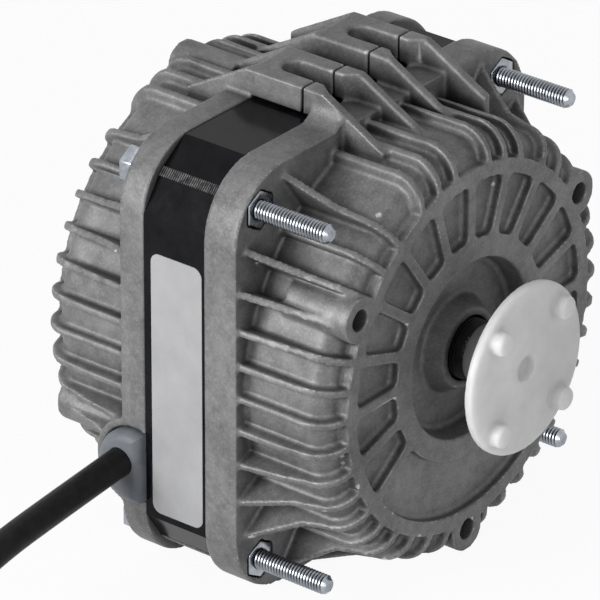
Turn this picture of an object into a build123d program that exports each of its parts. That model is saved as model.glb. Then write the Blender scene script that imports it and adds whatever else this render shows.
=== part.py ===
from build123d import *
import os
from math import cos, pi, radians, sin, tan

os.makedirs("parts", exist_ok=True)

# Millimetres, +Z up. The shaft lies along Y and points to -Y.
# The origin is on the shaft's axis, in the front plane of the front flange.

# Flanges and stack, along the shaft
flange_side = 90.0
flange_corner = 14.0
front_flange_t = 7.8
stack_t = 14.7
rear_flange_t = 6.0
stack_front_y = front_flange_t
stack_rear_y = stack_front_y + stack_t
rear_face_y = stack_rear_y + rear_flange_t
flange_top_z = flange_side / 2

# Finned dome of each casting: depths are measured outwards from its flange
dome_depth = 21.5
ring_r = 38.1
shoulder_r = 6.4
groove_depth = 2.2
crest_r = ring_r + shoulder_r
floor_r = crest_r - groove_depth
shoulder_depth = dome_depth - shoulder_r
wall = 2.6
cavity_r = floor_r - wall
cavity_corner = 7.0

# Fins round the dome: upright plates at the top, then radial ones at an even pitch
fin_t = 1.5
top_fins_at_x = (5.2, 10.2, 15.4)
even_fins_from = 36.0
fin_pitch = 9.0
flare_r = 52.5
flare_inset = 0.6
flare_neck_r = 45.5
flare_neck_depth = 10.0

# End face: pockets between radial ribs, a dish and the bearing boss
pocket_outer_r = 35.0
pocket_inner_r = 23.0
pocket_depth = 2.0
pocket_pitch = 18.0
pocket_count = 14
pocket_from = -36.0
face_rib_t = 2.2
pocket_corner = 1.5
dish_r = 18.5
dish_draft = 1.0
dish_depth = 4.5
boss_base_r = 10.0
boss_tip_r = 8.0
boss_rise = 4.2
ring_boss_angles = (30.0, 150.0, 270.0)
ring_boss_at_r = 39.8
ring_boss_r = 4.6
ring_boss_length = 15.0
front_boss_hole_r = 2.2
rear_boss_hole_r = 1.85
ring_boss_hole_depth = 5.0

# Tie studs through the four corners: thread size at their free ends, pitch radius between
stud_pitch = 75.0
stud_r = 2.0
stud_shank_r = 1.77
stud_ahead = 16.9
stud_behind = 4.6
stud_point = 0.8
stud_hole_gap = 0.25
nut_across = 7.0
nut_t = 3.2
nut_gap = 0.18
nut_bore_gap = 0.05

# Two slotted feet on top
foot_centres = (-5.9, 14.3)
foot_width = 13.4
foot_slot_w = 5.5
foot_slot_end_y = 19.6
foot_top_z = 50.7
foot_under_gap = 0.3
foot_seam_y = 9.9
foot_seam_gap = 0.3
foot_flat_front_y = 5.3
foot_flat_rear_y = 23.6
gusset_t = 2.0
gusset_reach = 14.8
gusset_drop = 8.2
gusset_root_z = 34.0
foot_fillet_r = 4.0
stack_side = 89.4
stack_corner_cut = 12.2
stack_corner_at = 39.6
stack_corner_flat = 2.3

# Bearings, one in each casting
shaft_r = 3.0
bearing_ball_r = 7.1
bearing_length = 9.0
bearing_depth = 9.5
bearing_run_gap = 0.03
bearing_seat_gap = 0.05
bearing_tube_r = 10.0
bearing_tube_end = 3.5
bearing_bore_depth = 17.0
mouth_r = 6.5
clip_t = 0.6
clip_inner_r = 6.0
felt_t = 2.8
felt_inner_r = 4.2
felt_gap = 0.15
slinger_gap = 0.4
slinger_t = 4.0
slinger_depth = 17.9

# Rotor
air_gap = 0.35
rotor_r = 21.7
rotor_bars = 16
bar_w = 1.8
bar_h = 4.0
bar_at_r = 18.2
bar_gap = 0.03
cage_ring_t = 3.4
cage_ring_inner_r = 15.0
shaft_body_r = 4.2
shoulder_depth_in = 2.2
shaft_tail = 15.2
washer_r = 5.6
washer_t = 0.8
washer_count = 3
fit_gap = 0.02

# Stator: four poles with a coil on each
bore_r = rotor_r + air_gap
window_r = 36.0
window_flat_r = 35.8
window_flat_w = 26.4
pole_w = 13.0
shoe_outer_r = 26.4
shoe_half_angle = 34.0
slot_angle = 17.0
slot_w = 2.2
slot_depth = 2.6
ring_gap = 0.15
ring_overhang = 1.6
bobbin_gap = 0.2
bobbin_wall = 0.8
bobbin_from_r = 27.0
bobbin_to_r = 35.2
coil_build = 4.8
coil_gap = 0.1
bobbin_lip = 0.5

# Fan adapter
hub_r = 6.0
hub_from = 23.8
disc_back = 33.2
disc_t = 1.8
disc_r = 17.5
disc_edge = 0.4
bump_count = 4
bump_at_r = 13.9
bump_r = 2.4
bump_rise = 2.6
bump_round = 0.7
dimple_r = 2.65
dimple_depth = 1.0
dimple_floor_t = 1.0
shaft_end_gap = 0.05

# Rating label on the side of the stack
label_from_y = 8.4
label_width = 12.4
label_centre_z = -3.0
label_height = 56.0
label_corner = 2.0
label_t = 0.15

# Cable gland in the rear casting's left side
gland_y = 25.3
gland_z = -22.3
gland_flat_y = stack_rear_y
gland_r = 7.7
gland_gap = 0.1
gland_boss_r = 9.5
gland_proud = 2.6
gland_round = 2.2
gland_inner_x = -32.5
cable_r = 2.95
cable_gap = 0.05
lead_passage_r = 2.4

# Cable: free stretch, then a flat coil on the surface the motor stands on
floor_z = -flange_side / 2
cable_floor_z = floor_z + cable_r
cable_route = [
    (-44.5, 26.9, -20.9),
    (-65.0, 26.8, -22.7),
    (-86.0, 27.1, -25.3),
    (-103.0, 27.6, -31.8),
    (-122.0, 27.9, cable_floor_z),
    (-142.0, 26.6, cable_floor_z),
]
cable_arc_share = 0.45
coil_outer_turn_r = 37.0
coil_inner_turn_r = 24.6
coil_round = 1.2

# Leads and earth inside the rear casting
lead_r = 0.8
lead_bend = 2.0
sleeve_r = 1.5
sleeve_length = 7.0
earth_at = (-20.5, -19.0)
earth_head_r = 2.8
earth_head_t = 1.8
earth_shank_r = 1.5
earth_shank_length = 1.8

front_end = Plane(origin=(0, 0, 0), x_dir=(1, 0, 0), z_dir=(0, -1, 0))
rear_end = Plane(origin=(0, rear_face_y, 0), x_dir=(-1, 0, 0), z_dir=(0, 1, 0))
shaft_axis = Axis((0, 0, 0), (0, 1, 0))
radial_fins = [
    side * (even_fins_from + fin_pitch * k)
    for k in range(round((180 - even_fins_from) / fin_pitch))
    for side in (-1, 1)
] + [180.0]
stud_places = [(x, z) for x in (-stud_pitch / 2, stud_pitch / 2) for z in (-stud_pitch / 2, stud_pitch / 2)]


def across(y):
    # a plane square to the shaft: local x is X, local y is Z, outwards is -Y
    return Plane(origin=(0, y, 0), x_dir=(1, 0, 0), z_dir=(0, -1, 0))


def radial(end, angle):
    # a plane through the shaft's axis: local x runs outwards, local y along the end's normal
    out = end.x_dir * cos(radians(angle)) + end.y_dir * sin(radians(angle))
    return Plane(origin=end.origin, x_dir=out, z_dir=out.cross(end.z_dir))


def polar(radius, angle):
    return radius * cos(radians(angle)), radius * sin(radians(angle))


def pattern_turn(end):
    # the rear casting's bosses and pockets are turned half way round
    return 0.0 if end is front_end else 180.0


def flange_reach(angle):
    # from the shaft's axis to the flange's outline: a straight side or a round corner
    along, over = sorted((abs(cos(radians(angle))), abs(sin(radians(angle)))), reverse=True)
    straight = flange_side / 2 / along
    corner_at = flange_side / 2 - flange_corner
    if straight * over <= corner_at:
        return straight
    middle = corner_at * (along + over)
    return middle + (middle**2 - 2 * corner_at**2 + flange_corner**2) ** 0.5


def fin_profile(plane, foot_r, neck_r):
    # one fin: its foot on the flange, a straight flare, the crest and the rounded shoulder
    root_r = floor_r - groove_depth / 2
    inner = ring_r - groove_depth
    with BuildSketch(plane) as profile:
        with BuildLine():
            tip = CenterArc((ring_r, shoulder_depth), shoulder_r, 0, 90)
            Polyline(
                tip @ 1,
                (inner, dome_depth),
                (inner, shoulder_depth),
                (root_r, shoulder_depth),
                (root_r, 0),
                (foot_r, 0),
                (neck_r, flare_neck_depth),
                tip @ 0,
            )
        make_face()
    return profile.sketch


# Upright plates over the top of the dome, cut from the fins' form turned round the axis
def top_fin_set(end):
    with BuildPart() as plates:
        form = fin_profile(radial(end, 90), crest_r - 0.1, crest_r - 0.05)
        revolve(form, axis=Axis(end.origin, end.z_dir))
        with BuildSketch(end) as slices:
            with Locations(*[(side * x, crest_r) for x in top_fins_at_x for side in (-1, 1)]):
                Rectangle(fin_t, crest_r)
        extrude(slices.sketch, amount=dome_depth, mode=Mode.INTERSECT)
    return plates.part


# Radial fins, which flare out towards the flange but stay clear of the nuts
def radial_fin_set(end):
    with BuildPart() as fins:
        for from_top in radial_fins:
            foot_r = min(flare_r, flange_reach(from_top) - flare_inset)
            neck_r = min(flare_neck_r, foot_r - 0.05)
            if abs(abs(from_top) % 90 - 45) < 1:
                foot_r, neck_r = crest_r - 0.1, crest_r - 0.05
            extrude(fin_profile(radial(end, 90 - from_top), foot_r, neck_r), amount=fin_t / 2, both=True)
    return fins.part


# The solid form of one casting, before the bearing bore and what differs from end to end
def casting(end, flange_t):
    dish_floor = dome_depth - dish_depth
    with BuildPart() as body:
        with BuildSketch(end):
            RectangleRounded(flange_side, flange_side, flange_corner)
        extrude(amount=-flange_t)
        with BuildSketch(radial(end, 0)) as profile:
            with BuildLine():
                side = Line((floor_r, 0), (floor_r, shoulder_depth))
                round_over = CenterArc((ring_r, shoulder_depth), shoulder_r - groove_depth, 0, 90)
                Polyline(
                    round_over @ 1,
                    (ring_r, dome_depth),
                    (dish_r, dome_depth),
                    (dish_r - dish_draft, dish_floor),
                    (boss_base_r, dish_floor),
                    (boss_tip_r, dish_floor + boss_rise),
                    (0, dish_floor + boss_rise),
                    (0, 0),
                    side @ 0,
                )
            make_face()
        revolve(profile.sketch, axis=Axis(end.origin, end.z_dir))
        add(radial_fin_set(end))
        add(top_fin_set(end))
        for angle in ring_boss_angles:
            with BuildSketch(end.offset(dome_depth - ring_boss_length)) as boss:
                with Locations(polar(ring_boss_at_r, angle + pattern_turn(end))):
                    Circle(ring_boss_r)
            extrude(boss.sketch, amount=ring_boss_length)
    return body.part


# A face pocket between two ribs, a ring sector whose sides run parallel to them
def face_pocket(span):
    with BuildSketch() as pocket:
        Circle(pocket_outer_r)
        Circle(pocket_inner_r, mode=Mode.SUBTRACT)
        half = radians(span / 2)
        apex = face_rib_t / 2 / sin(half)
        far = 3 * pocket_outer_r
        Polygon(
            (apex, 0),
            (apex + far * cos(half), -far * sin(half)),
            (apex + far * cos(half), far * sin(half)),
            align=None,
            mode=Mode.INTERSECT,
        )
        fillet(pocket.vertices(), pocket_corner)
    return pocket.sketch


narrow_pocket = face_pocket(pocket_pitch)
wide_pocket = face_pocket(360 - pocket_pitch * pocket_count)


# The cuts that both castings share, made in the solid form
def hollow(end, flange_t):
    dish_floor = dome_depth - dish_depth
    cavity_depth = dome_depth - pocket_depth - wall
    with BuildPart() as cuts:
        with BuildSketch(radial(end, 0)) as profile:
            with BuildLine():
                side = Line((cavity_r, -flange_t), (cavity_r, cavity_depth - cavity_corner))
                corner = CenterArc(
                    (cavity_r - cavity_corner, cavity_depth - cavity_corner), cavity_corner, 0, 90
                )
                Polyline(
                    corner @ 1,
                    (dish_r + wall + dish_draft, cavity_depth),
                    (dish_r + wall, dish_floor - wall),
                    (bearing_tube_r, dish_floor - wall),
                    (bearing_tube_r, bearing_tube_end),
                    (0, bearing_tube_end),
                    (0, -flange_t),
                    side @ 0,
                )
            make_face()
        revolve(profile.sketch, axis=Axis(end.origin, end.z_dir))
        with BuildSketch(end.offset(bearing_tube_end)) as bore:
            Circle(bearing_ball_r + bearing_seat_gap)
        extrude(bore.sketch, amount=bearing_bore_depth - bearing_tube_end)
        with BuildSketch(end.offset(dome_depth)) as pockets:
            turn = pocket_from + pattern_turn(end)
            with PolarLocations(
                0,
                pocket_count,
                start_angle=turn + pocket_pitch / 2,
                angular_range=pocket_pitch * pocket_count,
            ):
                add(narrow_pocket)
            with Locations(Location((0, 0, 0), (0, 0, turn + 180 + pocket_pitch * pocket_count / 2))):
                add(wide_pocket)
        extrude(pockets.sketch, amount=-pocket_depth)
        for angle in ring_boss_angles:
            with BuildSketch(end.offset(dome_depth)) as hole:
                with Locations(polar(ring_boss_at_r, angle + pattern_turn(end))):
                    Circle(front_boss_hole_r if end is front_end else rear_boss_hole_r)
            extrude(hole.sketch, amount=-ring_boss_hole_depth)
        with BuildSketch(end) as stud_holes:
            with Locations(*stud_places):
                Circle(stud_r + stud_hole_gap)
        extrude(stud_holes.sketch, amount=-flange_t)
    return cuts.part


def foot_sides(centre):
    # x from and to of the two prongs of a foot, and of the gusset under each
    low, high = centre - foot_width / 2, centre + foot_width / 2
    prong = (foot_width - foot_slot_w) / 2
    return ((low, low + prong, low, low + gusset_t), (high - prong, high, high - gusset_t, high))


def gusset_plate(x_from, x_to, flange_face_y, flat_y, way):
    # an upright plate under a foot that slopes away from the flange; way is -1 to the front
    with BuildPart() as plate:
        with BuildSketch(Plane(origin=(x_from, 0, 0), x_dir=(0, 1, 0), z_dir=(1, 0, 0))) as outline:
            Polygon(
                (flange_face_y, gusset_root_z),
                (flange_face_y, foot_top_z),
                (flat_y, foot_top_z),
                (flat_y + way * gusset_reach, foot_top_z - gusset_drop),
                (flat_y + way * gusset_reach, gusset_root_z),
                align=None,
            )
        extrude(outline.sketch, amount=x_to - x_from)
    return plate.part


# The left foot's outer gusset runs down into the top of the front flange with a fillet
def foot_fillet():
    wall_x = foot_centres[0] - foot_width / 2
    with BuildPart() as web:
        add(gusset_plate(wall_x - foot_fillet_r, wall_x, front_flange_t, foot_flat_front_y, -1))
        with BuildSketch(across(front_flange_t)) as section:
            with Locations((wall_x - foot_fillet_r / 2, flange_top_z + foot_fillet_r / 2)):
                Rectangle(foot_fillet_r, foot_fillet_r)
            with Locations((wall_x - foot_fillet_r, flange_top_z + foot_fillet_r)):
                Circle(foot_fillet_r, mode=Mode.SUBTRACT)
        extrude(section.sketch, amount=front_flange_t, mode=Mode.INTERSECT)
    return web.part


# Front casting: its share of each foot is two prongs that run down into gussets
with BuildPart() as front_housing:
    add(casting(front_end, front_flange_t))
    for centre in foot_centres:
        for prong_from, prong_to, gusset_from, gusset_to in foot_sides(centre):
            add(gusset_plate(gusset_from, gusset_to, front_flange_t, foot_flat_front_y, -1))
            with BuildSketch(Plane.XY.offset(flange_top_z + foot_under_gap)) as prong:
                Polygon(
                    (prong_from, foot_seam_y),
                    (prong_to, foot_seam_y),
                    (prong_to, front_flange_t),
                    (gusset_to, foot_flat_front_y),
                    (gusset_from, foot_flat_front_y),
                    (prong_from, front_flange_t),
                    align=None,
                )
            extrude(prong.sketch, amount=foot_top_z - flange_top_z - foot_under_gap)
    add(foot_fillet())
    add(hollow(front_end, front_flange_t), mode=Mode.SUBTRACT)
    with BuildSketch(front_end.offset(bearing_bore_depth)) as mouth:
        Circle(mouth_r)
    extrude(mouth.sketch, amount=dome_depth, mode=Mode.SUBTRACT)
    with BuildSketch(front_end) as nut_pockets:
        with Locations(*stud_places):
            RegularPolygon(nut_across / 2 + nut_gap, 6, major_radius=False, rotation=30)
    extrude(nut_pockets.sketch, amount=-nut_t, mode=Mode.SUBTRACT)
front_housing.part.label = "front_housing"
export_step(front_housing.part, "parts/front_housing.step")


# Rear casting: the rest of each foot with its slot, and the gland's recess on the left
with BuildPart() as rear_housing:
    add(casting(rear_end, rear_flange_t))
    for centre in foot_centres:
        with BuildSketch(Plane.XY.offset(flange_top_z + foot_under_gap)) as plate:
            plate_from = foot_seam_y + foot_seam_gap
            with Locations((centre, (plate_from + foot_flat_rear_y) / 2)):
                Rectangle(foot_width, foot_flat_rear_y - plate_from)
            slot_end = foot_slot_end_y - foot_slot_w / 2
            with Locations((centre, slot_end)):
                Circle(foot_slot_w / 2, mode=Mode.SUBTRACT)
            with Locations((centre, slot_end / 2)):
                Rectangle(foot_slot_w, slot_end, mode=Mode.SUBTRACT)
        extrude(plate.sketch, amount=foot_top_z - flange_top_z - foot_under_gap)
        with BuildSketch(Plane.XY.offset(gusset_root_z)) as root:
            with Locations((centre, (stack_rear_y + foot_flat_rear_y) / 2)):
                Rectangle(foot_width, foot_flat_rear_y - stack_rear_y)
        extrude(root.sketch, amount=foot_top_z - gusset_root_z)
        for prong_from, prong_to, gusset_from, gusset_to in foot_sides(centre):
            add(gusset_plate(gusset_from, gusset_to, stack_rear_y, foot_flat_rear_y, 1))
    left_side = Plane(origin=(-flange_side / 2, 0, 0), x_dir=(0, 1, 0), z_dir=(1, 0, 0))
    with BuildSketch(left_side) as gland_boss:
        with Locations((gland_y, gland_z)):
            Circle(gland_boss_r)
        with Locations((gland_flat_y - gland_boss_r, gland_z)):
            Rectangle(2 * gland_boss_r, 3 * gland_boss_r, mode=Mode.SUBTRACT)
    extrude(gland_boss.sketch, amount=flange_side / 2 + gland_inner_x)
    add(hollow(rear_end, rear_flange_t), mode=Mode.SUBTRACT)
    with BuildSketch(left_side.offset(-gland_proud)) as gland_recess:
        with Locations((gland_y, gland_z)):
            Circle(gland_r + gland_gap)
    extrude(gland_recess.sketch, amount=flange_side / 2, mode=Mode.SUBTRACT)
    earth_face = dome_depth - pocket_depth - wall
    with BuildSketch(rear_end.offset(earth_face)) as earth_hole:
        with Locations((-earth_at[0], earth_at[1])):
            Circle(earth_shank_r + bearing_seat_gap)
    extrude(earth_hole.sketch, amount=earth_shank_length + stud_hole_gap, mode=Mode.SUBTRACT)
rear_housing.part.label = "rear_housing"
export_step(rear_housing.part, "parts/rear_housing.step")


def sector(inner_r, outer_r, angle_from, angle_to):
    span = angle_to - angle_from
    with BuildSketch() as shape:
        with BuildLine():
            outer = CenterArc((0, 0), outer_r, angle_from, span)
            inner = CenterArc((0, 0), inner_r, angle_from, span)
            Line(outer @ 0, inner @ 0)
            Line(outer @ 1, inner @ 1)
        make_face()
    return shape.sketch


# Stator core: the stack with its four poles and three flats on each corner
pole_angles = (0, 90, 180, 270)
stack_half = stack_side / 2
corner_step = stack_corner_flat / 2 / 2**0.5
corner_near, corner_far = stack_corner_at - corner_step, stack_corner_at + corner_step
quadrant = [
    (stack_half, stack_half - stack_corner_cut),
    (corner_far, corner_near),
    (corner_near, corner_far),
    (stack_half - stack_corner_cut, stack_half),
]
sheet_outline = []
for quarter in range(4):
    sheet_outline += quadrant
    quadrant = [(-z, x) for x, z in quadrant]
with BuildSketch() as lamination:
    Polygon(*sheet_outline, align=None)
    Circle(window_r, mode=Mode.SUBTRACT)
    Rectangle(2 * window_flat_r, window_flat_w, mode=Mode.SUBTRACT)
    Rectangle(window_flat_w, 2 * window_flat_r, mode=Mode.SUBTRACT)
    Rectangle(2 * window_r, pole_w)
    Rectangle(pole_w, 2 * window_r)
    for angle in pole_angles:
        add(sector(bore_r - slot_depth, shoe_outer_r, angle - shoe_half_angle, angle + shoe_half_angle))
    Circle(bore_r, mode=Mode.SUBTRACT)
    for angle in pole_angles:
        with Locations(Location((0, 0, 0), (0, 0, angle + slot_angle))):
            with Locations((bore_r, 0)):
                Rectangle(2 * slot_depth, slot_w, mode=Mode.SUBTRACT)
    with Locations(*stud_places):
        Circle(stud_r + stud_hole_gap, mode=Mode.SUBTRACT)
with BuildPart() as stator_core:
    with BuildSketch(across(stack_rear_y)) as laid:
        add(lamination.sketch)
    extrude(laid.sketch, amount=stack_t)
stator_core.part.label = "stator_core"
export_step(stator_core.part, "parts/stator_core.step")

# Shading rings: a closed copper loop round one tip of each pole shoe
with BuildPart() as shading_rings:
    slot_r = bore_r + slot_depth / 2
    degrees_per_mm = 180 / pi / slot_r
    leg = slot_w - 2 * ring_gap
    ring_from = slot_angle - leg / 2 * degrees_per_mm
    hole_from = ring_from + leg * degrees_per_mm
    hole_to = shoe_half_angle + ring_gap * degrees_per_mm
    ring_to = hole_to + leg * degrees_per_mm
    ring_inner_r, ring_outer_r = bore_r + 2 * ring_gap, bore_r + slot_depth - ring_gap
    for angle in pole_angles:
        with BuildSketch(across(stack_rear_y + ring_overhang)) as loop:
            add(sector(ring_inner_r, ring_outer_r, angle + ring_from, angle + ring_to))
        extrude(loop.sketch, amount=stack_t + 2 * ring_overhang)
    for angle in pole_angles:
        with BuildSketch(across(stack_rear_y + ring_gap)) as tip_hole:
            add(sector(ring_inner_r - 1, ring_outer_r + 1, angle + hole_from, angle + hole_to))
        extrude(tip_hole.sketch, amount=stack_t + 2 * ring_gap, mode=Mode.SUBTRACT)
shading_rings.part.label = "shading_rings"
export_step(shading_rings.part, "parts/shading_rings.step")

# Bobbins and coils, laid out along one pole and turned to the other three
stack_mid_y = (stack_front_y + stack_rear_y) / 2
tube_w, tube_l = pole_w + 2 * bobbin_gap, stack_t + 2 * bobbin_gap
spool_w, spool_l = tube_w + 2 * bobbin_wall, tube_l + 2 * bobbin_wall


def pole_plane(angle, radius):
    # outwards along a pole: local x is along the shaft, local y runs round it
    out = Vector(cos(radians(angle)), 0, sin(radians(angle)))
    return Plane(origin=out * radius + Vector(0, stack_mid_y, 0), x_dir=(0, 1, 0), z_dir=out)


with BuildPart() as coil_bobbins:
    lip_w, lip_l = spool_w + 2 * (coil_build + bobbin_lip), spool_l + 2 * (coil_build + bobbin_lip)
    for angle in pole_angles:
        with BuildSketch(pole_plane(angle, bobbin_from_r)) as spool:
            Rectangle(spool_l, spool_w)
            Rectangle(tube_l, tube_w, mode=Mode.SUBTRACT)
        extrude(spool.sketch, amount=bobbin_to_r - bobbin_from_r)
        for lip_at in (bobbin_from_r, bobbin_to_r - bobbin_wall):
            with BuildSketch(pole_plane(angle, lip_at)) as lip:
                RectangleRounded(lip_l, lip_w, bobbin_wall)
                Rectangle(tube_l, tube_w, mode=Mode.SUBTRACT)
            extrude(lip.sketch, amount=bobbin_wall)
coil_bobbins.part.label = "coil_bobbins"
export_step(coil_bobbins.part, "parts/coil_bobbins.step")

with BuildPart() as stator_coils:
    coil_from_r = bobbin_from_r + bobbin_wall + coil_gap
    coil_to_r = bobbin_to_r - bobbin_wall - coil_gap
    for angle in pole_angles:
        with BuildSketch(pole_plane(angle, coil_from_r)) as turns:
            RectangleRounded(spool_l + 2 * coil_build, spool_w + 2 * coil_build, coil_build / 2)
            Rectangle(spool_l + 2 * coil_gap, spool_w + 2 * coil_gap, mode=Mode.SUBTRACT)
        extrude(turns.sketch, amount=coil_to_r - coil_from_r)
stator_coils.part.label = "stator_coils"
export_step(stator_coils.part, "parts/stator_coils.step")


def tube_along(near_y, far_y, outer_r, inner_r=0.0):
    # a plain turned length between two places on the shaft's axis
    with BuildPart() as turned:
        with BuildSketch(across(far_y)) as ring:
            Circle(outer_r)
            if inner_r:
                Circle(inner_r, mode=Mode.SUBTRACT)
        extrude(ring.sketch, amount=far_y - near_y)
    return turned.part


# Rotor: laminated core, die-cast cage and shaft
with BuildPart() as rotor_core:
    with BuildSketch(across(stack_rear_y)) as disc:
        Circle(rotor_r)
        Circle(shaft_body_r + fit_gap, mode=Mode.SUBTRACT)
        with PolarLocations(bar_at_r, rotor_bars):
            Rectangle(bar_h + 2 * bar_gap, bar_w + 2 * bar_gap, mode=Mode.SUBTRACT)
    extrude(disc.sketch, amount=stack_t)
rotor_core.part.label = "rotor_core"
export_step(rotor_core.part, "parts/rotor_core.step")

with BuildPart() as rotor_cage:
    with BuildSketch(across(stack_rear_y)) as bars:
        with PolarLocations(bar_at_r, rotor_bars):
            Rectangle(bar_h, bar_w)
    extrude(bars.sketch, amount=stack_t)
    ring_r_out = bar_at_r + bar_h / 2 + 0.8
    add(tube_along(stack_front_y - cage_ring_t, stack_front_y, ring_r_out, cage_ring_inner_r))
    add(tube_along(stack_rear_y, stack_rear_y + cage_ring_t, ring_r_out, cage_ring_inner_r))
rotor_cage.part.label = "rotor_cage"
export_step(rotor_cage.part, "parts/rotor_cage.step")

adapter_bore_to = disc_back + disc_t - dimple_depth - dimple_floor_t
shaft_front_y = -(adapter_bore_to - shaft_end_gap)
with BuildPart() as rotor_shaft:
    add(tube_along(shaft_front_y, rear_face_y + shaft_tail, shaft_r))
    add(tube_along(-shoulder_depth_in, rear_face_y + shoulder_depth_in, shaft_body_r))
rotor_shaft.part.label = "rotor_shaft"
export_step(rotor_shaft.part, "parts/rotor_shaft.step")

with BuildPart() as thrust_washers:
    for k in range(washer_count):
        near = shoulder_depth_in + k * washer_t
        far = near + washer_t
        gap = shaft_r + fit_gap
        add(tube_along(-far, -near - fit_gap, washer_r, gap))
        add(tube_along(rear_face_y + near + fit_gap, rear_face_y + far, washer_r, gap))
thrust_washers.part.label = "thrust_washers"
export_step(thrust_washers.part, "parts/thrust_washers.step")

with BuildPart() as shaft_seal:
    add(tube_along(-slinger_depth - slinger_t, -slinger_depth, mouth_r - slinger_gap, shaft_r + fit_gap))
shaft_seal.part.label = "shaft_seal"
export_step(shaft_seal.part, "parts/shaft_seal.step")


# Bearings: a ball-shaped sintered bush, its clip and its oil felt, one set at each end
def bearing(centre_y):
    half = bearing_length / 2
    end_r = (bearing_ball_r**2 - half**2) ** 0.5
    bore = shaft_r + bearing_run_gap
    with BuildPart() as bush:
        with BuildSketch(Plane.XY) as profile:
            with BuildLine():
                ThreePointArc(
                    (end_r, centre_y - half), (bearing_ball_r, centre_y), (end_r, centre_y + half)
                )
                Polyline(
                    (end_r, centre_y + half),
                    (bore, centre_y + half),
                    (bore, centre_y - half),
                    (end_r, centre_y - half),
                )
            make_face()
        revolve(profile.sketch, axis=shaft_axis)
    return bush.part


front_bearing = bearing(-bearing_depth)
front_bearing.label = "front_bearing"
export_step(front_bearing, "parts/front_bearing.step")
rear_bearing = bearing(rear_face_y + bearing_depth)
rear_bearing.label = "rear_bearing"
export_step(rear_bearing, "parts/rear_bearing.step")

clip_depth = bearing_depth - bearing_length / 2
felt_depth = bearing_depth + bearing_length / 2 + felt_gap
felt_outer_r = bearing_ball_r - felt_gap
front_bearing_clip = tube_along(-clip_depth - clip_t, -clip_depth, bearing_ball_r, clip_inner_r)
front_bearing_clip.label = "front_bearing_clip"
export_step(front_bearing_clip, "parts/front_bearing_clip.step")
rear_clip_y = rear_face_y + clip_depth
rear_bearing_clip = tube_along(rear_clip_y, rear_clip_y + clip_t, bearing_ball_r, clip_inner_r)
rear_bearing_clip.label = "rear_bearing_clip"
export_step(rear_bearing_clip, "parts/rear_bearing_clip.step")
front_oil_felt = tube_along(-felt_depth - felt_t + felt_gap, -felt_depth, felt_outer_r, felt_inner_r)
front_oil_felt.label = "front_oil_felt"
export_step(front_oil_felt, "parts/front_oil_felt.step")
rear_felt_y = rear_face_y + felt_depth
rear_oil_felt = tube_along(rear_felt_y, rear_felt_y + felt_t - felt_gap, felt_outer_r, felt_inner_r)
rear_oil_felt.label = "rear_oil_felt"
export_step(rear_oil_felt, "parts/rear_oil_felt.step")

# Fan adapter: the moulded disc on the shaft, with four locating bumps
with BuildPart() as fan_adapter:
    add(tube_along(-disc_back, -hub_from, hub_r))
    with BuildSketch(across(-disc_back)) as disc:
        Circle(disc_r)
    extrude(disc.sketch, amount=disc_t)
    chamfer(fan_adapter.faces().sort_by(Axis.Y)[0].edges(), disc_edge)
    with BuildSketch(across(-disc_back - disc_t)) as bumps:
        with PolarLocations(bump_at_r, bump_count, start_angle=45):
            Circle(bump_r)
    extrude(bumps.sketch, amount=bump_rise)
    fillet(fan_adapter.faces().group_by(Axis.Y)[0].edges(), bump_round)
    with BuildSketch(across(-hub_from)) as bore:
        Circle(shaft_r + fit_gap)
    extrude(bore.sketch, amount=adapter_bore_to - hub_from, mode=Mode.SUBTRACT)
    with BuildSketch(across(-disc_back - disc_t)) as dimple:
        Circle(dimple_r)
    extrude(dimple.sketch, amount=-dimple_depth, mode=Mode.SUBTRACT)
fan_adapter.part.label = "fan_adapter"
export_step(fan_adapter.part, "parts/fan_adapter.step")

# Tie studs and their nuts
nuts_rear_y = rear_face_y + nut_t
with BuildPart() as tie_studs:
    for far_y, length, radius in (
        (rear_face_y + stud_behind, rear_face_y + stud_behind - nuts_rear_y, stud_r),
        (nuts_rear_y, nuts_rear_y, stud_shank_r),
        (0, stud_ahead, stud_r),
    ):
        with BuildSketch(across(far_y)) as sections:
            with Locations(*stud_places):
                Circle(radius)
        extrude(sections.sketch, amount=length)
    for end_faces in (tie_studs.faces().group_by(Axis.Y)[0], tie_studs.faces().group_by(Axis.Y)[-1]):
        chamfer(end_faces.edges(), stud_point)
tie_studs.part.label = "tie_studs"
export_step(tie_studs.part, "parts/tie_studs.step")


def nuts(far_y):
    with BuildPart() as four:
        with BuildSketch(across(far_y)) as hexes:
            with Locations(*stud_places):
                RegularPolygon(nut_across / 2, 6, major_radius=False, rotation=30)
            with Locations(*stud_places):
                Circle(stud_shank_r + nut_bore_gap, mode=Mode.SUBTRACT)
        extrude(hexes.sketch, amount=nut_t)
    return four.part


front_nuts = nuts(nut_t)
front_nuts.label = "front_nuts"
export_step(front_nuts, "parts/front_nuts.step")
rear_nuts = nuts(nuts_rear_y)
rear_nuts.label = "rear_nuts"
export_step(rear_nuts, "parts/rear_nuts.step")

# Rating label on the left side of the stack
with BuildPart() as rating_label:
    with BuildSketch(Plane(origin=(-stack_side / 2, 0, 0), x_dir=(0, 1, 0), z_dir=(1, 0, 0))) as sheet:
        with Locations((label_from_y + label_width / 2, label_centre_z)):
            RectangleRounded(label_width, label_height, label_corner)
    extrude(sheet.sketch, amount=-label_t)
rating_label.part.label = "rating_label"
export_step(rating_label.part, "parts/rating_label.step")

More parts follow.
